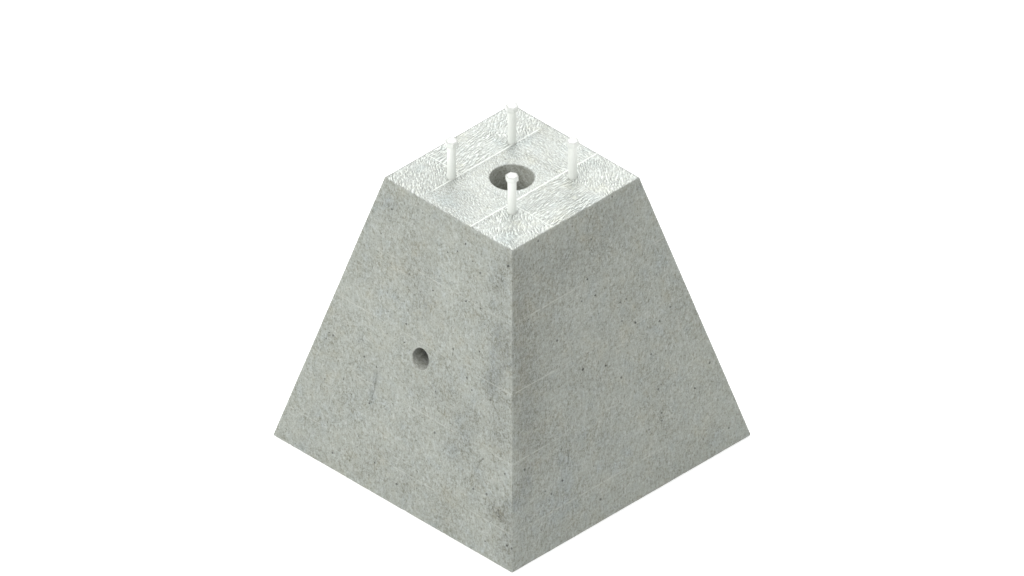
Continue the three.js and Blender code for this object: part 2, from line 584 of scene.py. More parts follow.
def add_side(skin, block, turn):
    length = slope_length(block)
    half_base, half_top = block.base_side / 2, block.top_side / 2
    corners = [(-half_base, 0.0), (half_base, 0.0), (half_top, length), (-half_top, length)]
    patch = FlatPatch(corners, (ARRIS_STEP, ARRIS_STEP, block.top_spacing, ARRIS_STEP))
    hole = None
    if turn == FRONT:
        mouth = np.array(side_mouth(block))
        middle = mouth.mean(axis=0)
        radius = block.side_duct_diameter / 2
        patch.add(mouth, joined=True, closed=True)
        for distance in ARRIS_ROWS:
            patch.add(middle + (mouth - middle) * (1 + distance / radius))
        patch.block(middle, radius * length / block.height + ARRIS_ROWS[-1] + 2 * MM)

        def hole(points):
            return np.linalg.norm((points - middle) * (1, block.height / length), axis=1) < radius

    for centre, pore_radius in pore_list(block, turn, corners):
        add_pore(patch, centre, pore_radius)
    for line in MARKED_CRACKS.get(turn, ()):
        add_crack(patch, length, line)
    for distance in ARRIS_ROWS:
        patch.add_free(outline(inset(corners, distance), [ARRIS_STEP] * 4))
    patch.add_free(lattice(corners, block.side_spacing, ARRIS_ROWS[-1] + ARRIS_CLEARANCE))
    flat, hollow, faces = patch.triangles(hole)
    points = on_side(block, turn, flat[:, 0], flat[:, 1])
    shade, warmth = stain_marks(MARKED_STAINS.get(turn, ()), points, flat, length)
    coarse = STAIN_COARSENESS.get(turn, 1.0) * smooth_step(*COARSE_SHADES, shade)
    skin.add(points, faces, FORMED_SIDE, hollow=hollow, shade=shade, warmth=warmth, coarse=coarse)


def side_mouth(block):
    """Points of the side duct's mouth, across the -Y face and up its slope."""
    angles = 2 * math.pi * np.arange(SIDE_DUCT_SIDES) / SIDE_DUCT_SIDES
    radius = block.side_duct_diameter / 2
    up = (block.side_duct_height + radius * np.sin(angles)) * slope_length(block) / block.height
    return list(zip(radius * np.cos(angles), up))


def bolt_centres():
    boxes = [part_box("anchor_bolt_" + place) for place in BOLT_PLACES]
    return [(low + high) / 2 for low, high in boxes]


LINING_SHIFT = (-10 * MM, 6.6 * MM)  # of the lining's middle square, along X and Y
FIN_ROWS = (-1.9 * MM, -0.7 * MM, 0.7 * MM, 1.9 * MM)  # rows of points along a fin, from its middle
FIN_CLEARANCE = 3 * MM  # between a fin's middle and the free points
PAINTED_FIN_SHADOW = 0.07  # how much darker the concrete is painted along one side of a fin: a painted shadow
PAINTED_BACK_EDGE_SHADE = 0.22  # how much darker the top is painted along its two back edges: painted shade


def fin_lines(block):
    """Places of the fins on the top: two across X and two across Y, one lining square apart."""
    half = block.lining_square / 2
    return tuple((-half + shift, half + shift) for shift in LINING_SHIFT)


def duct_ring(radius):
    """Points around the upright duct, from the -Y side."""
    return ring((0, 0), radius, DUCT_SIDES, -math.pi / 2)


def add_top(skin, block):
    half = block.top_side / 2
    duct_radius = block.duct_diameter / 2
    socket_radius = SHANK_DIAMETER / 2 + block.socket_clearance
    corners = square(block.top_side)
    patch = FlatPatch(corners, [block.top_spacing] * 4)
    patch.add(duct_ring(duct_radius), joined=True, closed=True)
    for distance in ARRIS_ROWS:
        patch.add(duct_ring(duct_radius + distance))
    patch.block((0, 0), duct_radius + ARRIS_ROWS[-1] + MM)
    centres = [np.array(centre[:2]) for centre in bolt_centres()]
    for centre in centres:
        patch.add(ring(centre, socket_radius, SOCKET_SIDES), joined=True, closed=True)
        patch.add(ring(centre, socket_radius + SOCKET_ROW, SOCKET_SIDES))
        patch.block(centre, socket_radius + 2.6 * MM)
    across_x, across_y = fin_lines(block)
    reach = np.arange(-half + 3 * MM, half - 2 * MM, block.top_spacing)
    for offset in FIN_ROWS:
        for place in across_x:
            patch.add_free(np.column_stack((np.full(len(reach), place + offset), reach)))
        for place in across_y:
            off_crossing = reach[np.min([np.abs(reach - x) for x in across_x], axis=0) > FIN_CLEARANCE]
            patch.add_free(np.column_stack((off_crossing, np.full(len(off_crossing), place + offset))))
    for distance in ARRIS_ROWS[:2]:
        patch.add(outline(inset(corners, distance), [block.top_spacing] * 4))
    free = lattice(corners, block.top_spacing, ARRIS_ROWS[1] + 1.4 * MM)
    for place in across_x:
        free = free[np.abs(free[:, 0] - place) > FIN_CLEARANCE]
    for place in across_y:
        free = free[np.abs(free[:, 1] - place) > FIN_CLEARANCE]
    patch.add_free(free)

    def hole(points):
        open_part = np.linalg.norm(points, axis=1) < duct_radius
        for centre in centres:
            open_part |= np.linalg.norm(points - centre, axis=1) < socket_radius
        return open_part

    flat, hollow, faces = patch.triangles(hole)
    points = np.column_stack((flat, np.full(len(flat), block.height)))
    shade, warmth = stain_marks(TOP_STAINS, points, flat)
    # a painted shadow along the +X side of each fin across X
    for place in across_x:
        gap = flat[:, 0] - place
        shade -= PAINTED_FIN_SHADOW * smooth_step(1.5 * MM, 4 * MM, gap) * (1 - smooth_step(6 * MM, 18 * MM, gap))
    # painted shade along the top's two back edges
    from_back = np.minimum(flat[:, 0] + half, half - flat[:, 1])
    shade -= PAINTED_BACK_EDGE_SHADE * (1 - smooth_step(1.6 * MM, 4 * MM, from_back))
    coarse = smooth_step(*COARSE_SHADES, shade)
    skin.add(points, faces, TOOLED_TOP, hollow=hollow, shade=shade, warmth=warmth, coarse=coarse)


def add_underside(skin, block):
    corners = square(block.base_side)
    patch = FlatPatch(corners, [ARRIS_STEP] * 4)
    radius = block.duct_diameter / 2
    patch.add(duct_ring(radius), joined=True, closed=True)
    patch.add(duct_ring(radius + ARRIS_ROWS[1]))
    patch.block((0, 0), radius + 8 * MM)
    for distance in ARRIS_ROWS:
        patch.add(outline(inset(corners, distance), [1.5 * ARRIS_STEP] * 4))
    patch.add_free(lattice(corners, UNDERSIDE_SPACING, UNDERSIDE_SPACING / 2))
    flat, hollow, faces = patch.triangles(lambda points: np.linalg.norm(points, axis=1) < radius)
    skin.add(np.column_stack((flat, np.zeros(len(flat)))), faces, UNDERSIDE, hollow=hollow)


def add_upright_duct(skin, block):
    """The upright duct's wall, laid out flat with the -Y side in the middle, and then rolled up.

    Its rows of points lie further apart the deeper they are."""
    radius = block.duct_diameter / 2
    edge = math.pi * radius
    corners = [(-edge, 0.0), (edge, 0.0), (edge, block.height), (-edge, block.height)]
    around = 2 * edge / DUCT_SIDES
    patch = FlatPatch(corners, (around, block.height / 100, around, block.height / 100))
    angles = 2 * math.pi * np.arange(SIDE_DUCT_SIDES) / SIDE_DUCT_SIDES
    side_radius = block.side_duct_diameter / 2
    inner_mouth = np.column_stack((
        radius * np.arcsin(side_radius * np.cos(angles) / radius),
        block.side_duct_height + side_radius * np.sin(angles),
    ))
    patch.add(inner_mouth, joined=True, closed=True)
    patch.block((0, block.side_duct_height), side_radius + 5 * MM)
    depth = ARRIS_ROWS[0]
    row = 0
    while depth < block.height - 5 * MM:
        step = around + 0.05 * depth
        across = np.arange(-edge + (0.5 + row % 2) * step / 2, edge - step / 4, step)
        patch.add_free(np.column_stack((across, np.full(len(across), block.height - depth))))
        depth += max(MM, 0.8 * step) if row > 2 else MM
        row += 1

    def hole(points):
        across = radius * np.sin(points[:, 0] / radius)
        facing = np.abs(points[:, 0]) < edge / 2
        return facing & (np.hypot(across, points[:, 1] - block.side_duct_height) < side_radius)

    flat, hollow, faces = patch.triangles(hole)
    turn = flat[:, 0] / radius
    wall = np.column_stack((radius * np.sin(turn), -radius * np.cos(turn), flat[:, 1]))
    skin.add(wall, faces, DUCT_WALL, hollow=hollow)


def add_side_duct(skin, block):
    """The side duct's wall, from its mouth in the -Y face to the upright duct, painted darker in its roof
    and further in: painted shade.
    """
    angles = 2 * math.pi * np.arange(SIDE_DUCT_SIDES) / SIDE_DUCT_SIDES
    radius = block.side_duct_diameter / 2
    across = radius * np.cos(angles)
    height = block.side_duct_height + radius * np.sin(angles)
    run = (block.base_side - block.top_side) / 2 / block.height
    mouth = -(block.base_side / 2 - height * run)
    inner = -np.sqrt((block.duct_diameter / 2) ** 2 - across ** 2)
    crowding = 1.7  # the higher, the closer the rows lie to the mouth
    shares = (np.arange(SIDE_DUCT_ROWS + 1) / SIDE_DUCT_ROWS) ** crowding
    shares[1] = ARRIS_ROWS[0] / (inner - mouth).mean()
    depth = np.repeat(shares, SIDE_DUCT_SIDES)
    above = np.tile(np.sin(angles), SIDE_DUCT_ROWS + 1)
    # painted shade: the roof and the deeper part of the duct are painted darker
    painted_roof_shade = 0.85 * smooth_step(-0.9, 0.2, above) * smooth_step(0, 0.012, depth)
    dark = np.maximum(smooth_step(0.03, 0.25, depth), painted_roof_shade)
    rings = [np.column_stack((across, mouth + (inner - mouth) * share, height)) for share in shares]
    skin.add_tube(rings, DUCT_WALL, shade=-0.55 * dark)


def add_socket(skin, block, centre):
    """The blind socket that a bolt's shank is cast into."""
    radius = SHANK_DIAMETER / 2 + block.socket_clearance
    rim = ring(centre[:2], radius, SOCKET_SIDES)
    bottom = BOLT_LOW.z - block.socket_clearance
    levels = (block.height, block.height - 3 * MM, block.height - 30 * MM, bottom)
    skin.add_tube([np.column_stack((rim, np.full(SOCKET_SIDES, level))) for level in levels], DUCT_WALL)
    floor = np.concatenate((rim, [centre[:2]]))
    fan = [(i, (i + 1) % SOCKET_SIDES, SOCKET_SIDES) for i in range(SOCKET_SIDES)]
    skin.add(np.column_stack((floor, np.full(len(floor), bottom))), fan, DUCT_WALL)


TINY = 1e-9  # keeps divisions by a length from failing


def surface_planes(block, points):
    """For each point, the outward directions of the block's faces and bores, and its depth under each."""
    slope = math.atan2((block.base_side - block.top_side) / 2, block.height)
    out, up = math.cos(slope), math.sin(slope)
    flats = np.array([(0, -out, up), (out, 0, up), (0, out, up), (-out, 0, up), (0, 0, 1), (0, 0, -1)])
    reach = np.array([block.base_side / 2 * out] * 4 + [block.height, 0])
    directions = np.repeat(flats[None], len(points), axis=0)
    depths = reach - points @ flats.T
    upright = points * (1, 1, 0)
    level = (points - (0, 0, block.side_duct_height)) * (1, 0, 1)
    for offset, radius, reached in (
        (upright, block.duct_diameter / 2, np.ones(len(points), bool)),
        (level, block.side_duct_diameter / 2, points[:, 1] < 0),
    ):
        distance = np.maximum(np.linalg.norm(offset, axis=1), TINY)
        directions = np.concatenate((directions, (-offset / distance[:, None])[:, None]), axis=1)
        depths = np.column_stack((depths, np.where(reached, distance - radius, 1.0)))
    return directions, depths


ARRIS_LEAST = 0.4 * MM  # smallest radius that an edge is worn to
NIBBLE = 2.6 * MM  # how much larger the radius is where an edge is chipped
WEAR_ROUNDS = 10  # enough for corners where three faces meet


def wear_edges(block, points):
    """Rounds the arrises and rims as if a ball had worn them.

    Returns the points, their outward directions, and how near each lies to an edge, from 0 to 1."""
    directions, depths = surface_planes(block, points)
    unevenness = 0.45 * field(points, 45 * MM) + 0.35 * field(points, 9 * MM, 3)
    nibbles = smooth_step(0.42, 0.75, field(points, 11 * MM, 11)) * NIBBLE
    radius = np.maximum(block.arris_radius * (1 + unevenness), ARRIS_LEAST) + nibbles
    need = radius[:, None] - depths
    overlap = np.einsum("nik,njk->nij", directions, directions)
    pull = np.zeros_like(need)
    for _ in range(WEAR_ROUNDS):
        for i in range(need.shape[1]):
            others = np.einsum("nj,nj->n", overlap[:, i], pull) - pull[:, i]
            pull[:, i] = np.maximum(0, need[:, i] - others)
    inward = np.einsum("ni,nik->nk", pull, directions)
    length = np.linalg.norm(inward, axis=1, keepdims=True)
    outward = inward / np.maximum(length, TINY)
    worn = np.where(length > TINY, points - inward + outward * radius[:, None], points)
    to_edge = (np.sort(depths, axis=1)[:, 1] - 2 * MM) / (10 * MM)
    return worn, outward, 1 - np.clip(to_edge, 0, 1)


# Tool marks of the top's nine squares, by column and row from the left front: the direction of the strokes
# in degrees, their length and width in millimetres, and their depth as a share of the deepest
TOOLING = (
    ((-42, 14, 4.6, 1.05), (100, 17, 4.6, 1.00), (-50, 13, 4.6, 1.05)),
    ((-18, 8, 3.7, 0.80), (-24, 9, 3.8, 0.75), (-4, 9, 3.9, 0.85)),
    ((-35, 14, 4.6, 1.00), (96, 17, 4.5, 0.95), (-36, 13, 4.6, 1.00)),
)


FIN_SHARES_X = (1.0, 0.95)  # heights of the two fins across X, as shares of the highest
FIN_SHARES_Y = (0.65, 0.4)  # the same across Y
MIDDLE_COLUMN_SHARE = 0.35  # how much of the fins across Y is left in the middle column


def stroke_places(block, points):
    """Where each point of the top lies along and across its square's strokes, in stroke lengths and widths.

    Also how strong the strokes are there, and the fins' height as a share of the highest."""
    across_x, across_y = fin_lines(block)
    column = np.searchsorted(across_x, points[:, 0])
    row = np.searchsorted(across_y, points[:, 1])
    marks = np.array(TOOLING)[column, row]
    angle = np.radians(marks[:, 0])
    flat = points * (1, 1, 0)
    bend = np.column_stack((field(flat, 22 * MM, 1), field(flat, 22 * MM, 2)))
    wander = np.column_stack((field(flat, 70 * MM, 5), field(flat, 70 * MM, 6)))
    bent = flat[:, :2] + 2.5 * MM * bend + 8 * MM * wander
    along = bent[:, 0] * np.cos(angle) + bent[:, 1] * np.sin(angle)
    across = bent[:, 1] * np.cos(angle) - bent[:, 0] * np.sin(angle)
    square = 3.0 * column + 11.0 * row
    strength = marks[:, 3] * (0.8 + 0.5 * field(flat, 34 * MM, 13))
    fins = np.zeros(len(points))
    middle_column = np.where(column == 1, MIDDLE_COLUMN_SHARE, 1.0)
    for places, axis, shares, limit in (
        (across_x, 0, FIN_SHARES_X, 1.0),
        (across_y, 1, FIN_SHARES_Y, middle_column),
    ):
        for place, share in zip(places, shares):
            nearness = 1 - smooth_step(0.8 * MM, 2.4 * MM, np.abs(points[:, axis] - place))
            broken = smooth_step(-0.95, -0.4, field(flat, 40 * MM, 20 + 50 * place))
            fins = np.maximum(fins, share * limit * nearness * broken)
    along = along / (marks[:, 1] * MM) + square
    across = across / (marks[:, 2] * MM) + square
    return along, across, strength * (1 - fins), fins


CREST_WIDTH = 0.34  # how far the noise may be from 0 on a crest


def stroke_height(along, across, strength):
    """Height of the strokes, as a share of the deepest."""
    place = np.column_stack((along, across, np.zeros(len(along))))
    long_crest = 1 - smooth_step(0.0, CREST_WIDTH, np.abs(field(place, 1.0, 4)))
    short_crest = 1 - smooth_step(0.0, CREST_WIDTH, np.abs(field(place * (1.8, 1.2, 1), 1.0, 6)))
    return strength * (0.7 * long_crest + 0.4 * short_crest + 0.35 * field(place * 0.5, 1.0))


# Waves of the whole surface, as (height, size, shift of the noise)
WAVES = ((0.45 * MM, 130 * MM, 8), (0.12 * MM, 24 * MM, 9))
WAVES_ON_TOP = 0.3  # share of them left on the top


def finish_surface(block, mesh):
    """Wears the edges and presses the relief into the welded mesh, and marks where each shows."""
    points = mesh_points(mesh)
    hollow = np.empty(len(points))
    mesh.attributes["hollow"].data.foreach_get("value", hollow)
    on_top = points[:, 2] > block.height - 0.01 * MM
    worn, outward, arris = wear_edges(block, points)
    waves = sum(rise * field(points, size, shift) for rise, size, shift in WAVES)
    relief = waves - hollow
    strokes = np.zeros((4, len(points)))
    strokes[:, on_top] = stroke_places(block, points[on_top])
    along, across, strength, fins = strokes
    relief[on_top] = WAVES_ON_TOP * waves[on_top] + block.fin_height * fins[on_top]
    calm = 1 - 0.7 * smooth_step(0.75, 1.0, arris)
    relief += block.tooling_depth * calm * stroke_height(along, across, strength)
    relief[points[:, 2] < MM] = 0
    moved = worn + outward * relief[:, None]
    mesh.vertices.foreach_set("co", moved.ravel())
    marks = {"arris": arris, "fin": fins, "along": along, "across": across, "strength": strength}
    for name, values in marks.items():
        mesh.attributes.new(name, "FLOAT", "POINT").data.foreach_set("value", values)
    mesh.update()


def block_mesh(block):
    skin = Skin()
    for turn in range(4):
        add_side(skin, block, turn)
    add_top(skin, block)
    add_underside(skin, block)
    add_upright_duct(skin, block)
    add_side_duct(skin, block)
    for centre in bolt_centres():
        add_socket(skin, block, centre)
    mesh = skin.mesh("concrete_block_cast")
    finish_surface(block, mesh)
    return mesh


# Shader nodes

class Wiring:
    """Adds nodes to a node tree and links them as it goes."""

    def __init__(self, tree):
        self.tree = tree

    def add(self, kind, settings=(), **inputs):
        """A node with its settings, and with values or links for its inputs."""
        node = self.tree.nodes.new(kind)
        node.location = (180 * len(self.tree.nodes), 0)
        for name, value in dict(settings).items():
            setattr(node, name, value)
        for name, value in inputs.items():
            self.feed(node.inputs[name], value)
        return node

    def feed(self, socket, value):
        if isinstance(value, bpy.types.NodeSocket):
            self.tree.links.new(value, socket)
        else:
            socket.default_value = value

    def math(self, operation, *values, clamp=False):
        node = self.add("ShaderNodeMath", {"operation": operation, "use_clamp": clamp})
        for socket, value in zip(node.inputs, values):
            self.feed(socket, value)
        return node.outputs[0]

    def vector(self, operation, *values):
        node = self.add("ShaderNodeVectorMath", {"operation": operation})
        for socket, value in zip(node.inputs, values):
            self.feed(socket, value)
        return node.outputs[0]

    def blend(self, share, first, second, mode="MIX"):
        node = self.add("ShaderNodeMix", {"data_type": "RGBA", "blend_type": mode})
        self.feed(node.inputs["Factor"], share)
        self.feed(node.inputs[6], first)
        self.feed(node.inputs[7], second)
        return node.outputs[2]

    def scale(self, color, share):
        """The colour times a share."""
        scaled_color = self.vector("SCALE", color)
        self.feed(scaled_color.node.inputs["Scale"], share)
        return scaled_color

    def ramp(self, value, low, high, to_low=0.0, to_high=1.0):
        """A smooth rise from to_low to to_high as the value goes from low to high."""
        node = self.add("ShaderNodeMapRange", {"interpolation_type": "SMOOTHSTEP"})
        for socket, number in zip(node.inputs, (value, low, high, to_low, to_high)):
            self.feed(socket, number)
        return node.outputs[0]

    def noise(self, position, size, detail=2.0, roughness=0.5):
        """Noise from 0 to 1 with lumps of the given size in metres."""
        scale = self.math("DIVIDE", 1.0, size) if isinstance(size, bpy.types.NodeSocket) else 1 / size
        node = self.add(
            "ShaderNodeTexNoise", {"normalize": True},
            Vector=position, Scale=scale, Detail=detail, Roughness=roughness)
        return node.outputs["Fac"]

    def about_zero(self, value):
        """Moves a value from 0 to 1 to one from -0.5 to 0.5."""
        return self.math("SUBTRACT", value, 0.5)

    def group(self, tree, **inputs):
        """A group's outputs. An input's name has underscores where the socket's has spaces."""
        node = self.add("ShaderNodeGroup", {"node_tree": tree})
        for name, value in inputs.items():
            self.feed(node.inputs[name.replace("_", " ")], value)
        return node.outputs


def new_group(name, inputs, outputs):
    """A shader node group with named sockets, its wiring, its inputs and its output node."""
    tree = bpy.data.node_groups.new(name, "ShaderNodeTree")
    kinds = {"value": "NodeSocketFloat", "vector": "NodeSocketVector", "color": "NodeSocketColor"}
    for socket_name, kind, default in inputs:
        socket = tree.interface.new_socket(socket_name, in_out="INPUT", socket_type=kinds[kind])
        if default is not None:
            socket.default_value = default
    for socket_name, kind in outputs:
        tree.interface.new_socket(socket_name, in_out="OUTPUT", socket_type=kinds[kind])
    wiring = Wiring(tree)
    entry = wiring.add("NodeGroupInput").outputs
    result = wiring.add("NodeGroupOutput").inputs
    return tree, wiring, entry, result


def shared_group(name, build):
    """The group of that name, built the first time that it is asked for."""
    return bpy.data.node_groups.get(name) or build(name)


def build_cloudy_tint(name):
    """A base colour that leans to a warm or a cool one in patches, in paler and darker clouds."""
    tree, wiring, entry, result = new_group(
        name,
        [
            ("Position", "vector", None), ("Base", "color", None), ("Warm", "color", None),
            ("Cool", "color", None), ("Warmth", "value", 0.0), ("Cloud Size", "value", 0.03),
            ("Patch Size", "value", 0.03), ("Depth", "value", 0.1),
        ],
        [("Color", "color")],
    )
    position = entry["Position"]
    cloud = wiring.noise(position, entry["Cloud Size"], detail=3.0, roughness=0.6)
    place = wiring.vector("ADD", position, (3.1, 1.7, 0.4))
    patch = wiring.noise(place, entry["Patch Size"], detail=3.0, roughness=0.6)
    lean = wiring.math("MULTIPLY_ADD", wiring.about_zero(patch), 3.0, entry["Warmth"])
    warmed = wiring.blend(wiring.ramp(lean, 0.0, 1.0), entry["Base"], entry["Warm"])
    cooled = wiring.blend(wiring.ramp(lean, -1.0, 0.0, 1.0, 0.0), warmed, entry["Cool"])
    swing = wiring.math("MULTIPLY", wiring.about_zero(cloud), entry["Depth"])
    shade = wiring.math("MULTIPLY_ADD", swing, 4.0, 1.0)
    wiring.feed(result["Color"], wiring.scale(cooled, shade))
    return tree


GRAIN_LIGHT = (0.0013, -0.0013, 0.0021)  # towards the light, by about the width of a grain
EDGE_ON = 2.4  # how much of the grain is its lit and its shaded edges
FACE_ON = 0.6  # how much of it is a difference between grains


def build_sand_grain(name):
    """Fine grain that looks lit from one side, with small dark pits, and the height of both."""
    tree, wiring, entry, result = new_group(
        name,
        [("Position", "vector", None), ("Grain Size", "value", 0.005), ("Coarseness", "value", 1.0)],
        [("Grain", "value"), ("Pits", "value"), ("Height", "value")],
    )
    size = entry["Grain Size"]
    place = wiring.vector("MULTIPLY", entry["Position"], (1.0, 1.0, 0.8))
    zone = wiring.noise(entry["Position"], 0.06, detail=3.0, roughness=0.6)
    rough = wiring.math("MULTIPLY", wiring.ramp(zone, 0.36, 0.62, 0.85, 1.12), entry["Coarseness"])
    fine = wiring.noise(place, size, detail=4.0, roughness=0.8)
    beside = wiring.noise(wiring.vector("ADD", place, GRAIN_LIGHT), size, detail=4.0, roughness=0.8)
    edges = wiring.math("MULTIPLY", wiring.math("SUBTRACT", fine, beside), EDGE_ON)
    swing = wiring.math("MULTIPLY_ADD", wiring.about_zero(fine), FACE_ON, edges)
    swing = wiring.math("MULTIPLY", swing, rough)
    elsewhere = wiring.vector("ADD", place, (0.7, 0.2, 4.0))
    hollows = wiring.noise(elsewhere, wiring.math("MULTIPLY", size, 0.5), detail=2.0, roughness=0.6)
    edge = wiring.math("SUBTRACT", 0.70, wiring.math("MULTIPLY", rough, 0.05))
    pits = wiring.ramp(hollows, edge, wiring.math("ADD", edge, 0.08))
    wiring.feed(result["Grain"], wiring.math("MULTIPLY_ADD", swing, 1.1, 0.5))
    wiring.feed(result["Pits"], pits)
    ups = wiring.math("MULTIPLY", wiring.about_zero(fine), rough)
    wiring.feed(result["Height"], wiring.math("SUBTRACT", ups, wiring.math("MULTIPLY", pits, 0.4)))
    return tree


def build_pinholes(name):
    """Small round holes, uneven in size, in a share of the cells that they are spaced by."""
    tree, wiring, entry, result = new_group(
        name,
        [("Position", "vector", None), ("Spacing", "value", 0.02), ("Share", "value", 0.3)],
        [("Mask", "value")],
    )
    scale = wiring.math("DIVIDE", 1.0, entry["Spacing"])
    cells = wiring.add("ShaderNodeTexVoronoi", {"feature": "F1"}, Vector=entry["Position"], Scale=scale)
    chance = wiring.add("ShaderNodeSeparateColor", Color=cells.outputs["Color"]).outputs
    edge = wiring.noise(entry["Position"], 0.002, detail=1.0)
    distance = wiring.math("ADD", cells.outputs["Distance"], wiring.math("MULTIPLY", edge, 0.06))
    radius = wiring.math("MULTIPLY", wiring.math("ADD", chance["Green"], 0.35), 0.13)
    dot = wiring.ramp(distance, radius, wiring.math("ADD", radius, 0.05), 1.0, 0.0)
    chosen = wiring.math("LESS_THAN", chance["Red"], entry["Share"])
    wiring.feed(result["Mask"], wiring.math("MULTIPLY", dot, chosen))
    return tree


def build_streaks(name):
    """Thin upright streaks, gathered in places."""
    tree, wiring, entry, result = new_group(
        name,
        [("Position", "vector", None), ("Width", "value", 0.004), ("Length", "value", 0.09)],
        [("Mask", "value")],
    )
    parts = wiring.add("ShaderNodeSeparateXYZ", Vector=entry["Position"]).outputs
    squeezed = wiring.math("MULTIPLY", parts["Z"], wiring.math("DIVIDE", entry["Width"], entry["Length"]))
    place = wiring.add("ShaderNodeCombineXYZ", X=parts["X"], Y=parts["Y"], Z=squeezed).outputs[0]
    lines = wiring.noise(place, entry["Width"])
    where = wiring.noise(entry["Position"], 0.11)
    share = wiring.math("MULTIPLY", wiring.ramp(lines, 0.5, 0.72), wiring.ramp(where, 0.5, 0.66))
    wiring.feed(result["Mask"], share)
    return tree


def build_strokes(name):
    """Fine strokes of the tooled top, with the height of their crests and a painted highlight and shade: how
    far those catch the light.
    """
    tree, wiring, entry, result = new_group(
        name,
        [("Along", "value", 0.0), ("Across", "value", 0.0)],
        [("Height", "value"), ("Lift", "value")],
    )
    place = wiring.add("ShaderNodeCombineXYZ", X=entry["Along"], Y=entry["Across"]).outputs[0]
    crest, beside = (
        wiring.ramp(wiring.noise(spot, 1.0, detail=2.5, roughness=0.6), 0.42, 0.62)
        for spot in (place, wiring.vector("ADD", place, (0.06, 0.3, 0.0)))
    )
    painted_lee_shade = wiring.math("SUBTRACT", crest, beside)
    painted_emboss = wiring.math("MULTIPLY_ADD", wiring.about_zero(crest), 0.6, painted_lee_shade)
    wiring.feed(result["Height"], crest)
    wiring.feed(result["Lift"], painted_emboss)
    return tree


LINES_SHOWN = 4.0  # no line shows above this many pitches


def build_lining_lines(name):
    """Faint level lines on the sides, where the squares of the mould's lining met, in broken stretches."""
    tree, wiring, entry, result = new_group(
        name,
        [
            ("Position", "vector", None), ("First", "value", 0.083), ("Pitch", "value", 0.152),
            ("Width", "value", 0.0022),
        ],
        [("Mask", "value")],
    )
    height = wiring.add("ShaderNodeSeparateXYZ", Vector=entry["Position"]).outputs["Z"]
    wobble = wiring.math("MULTIPLY", wiring.about_zero(wiring.noise(entry["Position"], 0.05)), 0.002)
    rise = wiring.math("ADD", wiring.math("SUBTRACT", height, entry["First"]), wobble)
    to_line = wiring.math("PINGPONG", rise, wiring.math("MULTIPLY", entry["Pitch"], 0.5))
    line = wiring.ramp(to_line, 0.0, entry["Width"], 1.0, 0.0)
    stretches = wiring.ramp(wiring.noise(entry["Position"], 0.12, detail=3.0, roughness=0.6), 0.38, 0.56)
    broken = wiring.ramp(wiring.noise(entry["Position"], 0.012, roughness=0.6), 0.36, 0.5)
    shown = wiring.math("MULTIPLY", line, wiring.math("MULTIPLY", stretches, broken))
    below = wiring.math("LESS_THAN", height, wiring.math("MULTIPLY", entry["Pitch"], LINES_SHOWN))
    wiring.feed(result["Mask"], wiring.math("MULTIPLY", shown, below))
    return tree


@dataclass
class ConcreteLook:
    """How one kind of concrete surface looks. Sizes and heights are in metres, and the others are shares."""

    name: str
    base: tuple
    warm: tuple
    cool: tuple
    cloud: float = 0.03  # swing of the paler and darker clouds
    patch: float = 0.035  # size of the warm and cool patches
    grain: float = 0.35  # swing of the grain's colour
    grain_size: float = 0.0085
    grain_relief: float = 0.0068
    pits: float = 0.6  # how dark the grain's pits are
    specks: float = 0.5  # how dark the separate specks are
    pinholes: float = 0.15  # share of the cells that have a pinhole
    streaks: float = 0.0
    lining: float = 0.0  # how clear the lines of the lining are
    wear: float = 0.0  # how much paler the worn edges are
    crest: float = 0.0  # how much paler the strokes' crests are painted and darker their lee sides: painted highlight and shade
    roughness: float = 0.9


def scaled(color, share):
    return tuple(channel * share for channel in color[:3]) + (1.0,)


def new_material(name):
    """A material, its wiring, its shader's inputs and the object's own coordinates."""
    material = bpy.data.materials.new(name)
    material.use_nodes = True
    wiring = Wiring(material.node_tree)
    shader = material.node_tree.nodes["Principled BSDF"].inputs
    position = wiring.add("ShaderNodeTexCoord").outputs["Object"]
    return material, wiring, shader, position


def feed_bump(wiring, shader, height):
    """Leads a height in metres to a shader's normal."""
    bump = wiring.add("ShaderNodeBump", Strength=1.0, Distance=1.0, Height=height)
    wiring.feed(shader["Normal"], bump.outputs["Normal"])


GRAIN_DARKEST = (1.0, 1.0, 1.2)  # how far the grain darkens and brightens each colour channel
GRAIN_BRIGHTEST = (0.9, 1.0, 1.1)
PIT_TINT = (0.50, 0.47, 0.41, 1)
LINING_RIDGE = 0.3 * MM
STROKE_RIDGE = 0.8 * MM
PINHOLE_DEPTH = 0.8 * MM


